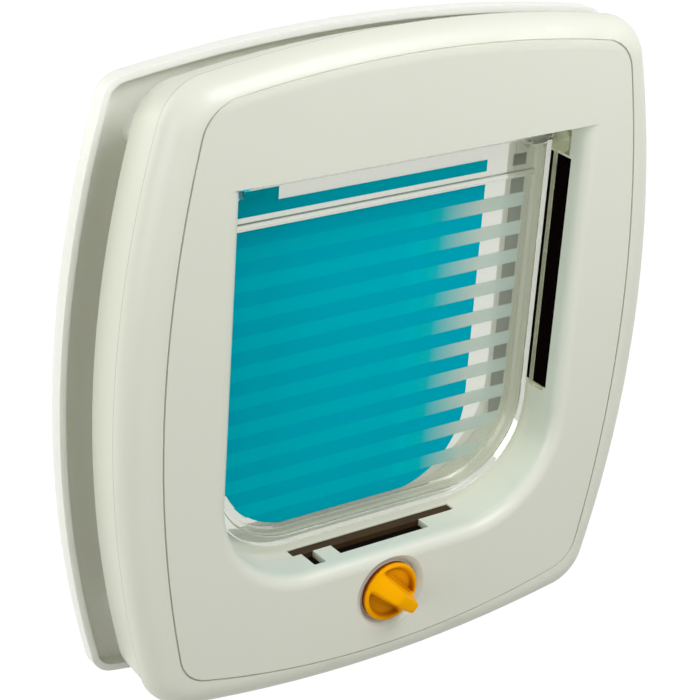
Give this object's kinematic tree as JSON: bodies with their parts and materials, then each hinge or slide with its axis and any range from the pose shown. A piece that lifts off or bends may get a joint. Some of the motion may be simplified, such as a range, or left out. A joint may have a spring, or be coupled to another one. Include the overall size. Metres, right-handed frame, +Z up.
{
  "type": "cat flap",
  "caption": "Pet door for a door leaf: white moulded frames clamp the door, a clear printed flap swings both ways in a through passage, and an amber knob turns the lock below.",
  "frame": {"origin": "middle of the room-side frame on the face that lies against the room side of the door", "axes": "+Z up, +Y through the door to the outdoors, +X to the right seen from the room"},
  "size_m": [0.235, 0.0516, 0.2432],
  "materials": {
    "white_plastic": "satin",
    "clear_plastic": "polished",
    "steel": "plain",
    "black_strip": "matt",
    "brown_strip": "matt",
    "black_plastic": "matt",
    "amber_plastic": "satin",
    "cyan_print": "printed film",
    "pale_cyan_print": "printed film",
    "grey_print": "printed film"
  },
  "bodies": {
    "frame": {"front_cover": "white_plastic", "inner_frame": "white_plastic", "rear_frame": "white_plastic", "hinge_clip_left": "clear_plastic", "hinge_clip_right": "clear_plastic", "side_strip_left": "black_strip", "side_strip_right": "black_strip", "sill_strip": "brown_strip", "lock_bush": "black_plastic", "slot_liner": "black_plastic", "frame_screws": "steel"},
    "flap": {"flap_panel": "clear_plastic", "hinge_pin_left": "steel", "hinge_pin_right": "steel", "print_stripes": "cyan_print", "print_bands": "pale_cyan_print", "print_squares": "grey_print"},
    "lock": {"lock_knob": "amber_plastic", "lock_shaft": "steel", "front_cam": "steel", "rear_cam": "steel", "knob_ring": "steel"}
  },
  "joints": [
    {"name": "flap_swing", "type": "hinge", "parent": "frame", "child": "flap", "pos_m": [0, -0.0077, 0.069], "axis": [1, 0, 0], "range_deg": [-85, 85]},
    {"name": "lock_turn", "type": "hinge", "parent": "frame", "child": "lock", "pos_m": [0, 0, -0.0894], "axis": [0, 1, 0], "range_deg": [0, 270]}
  ]
}
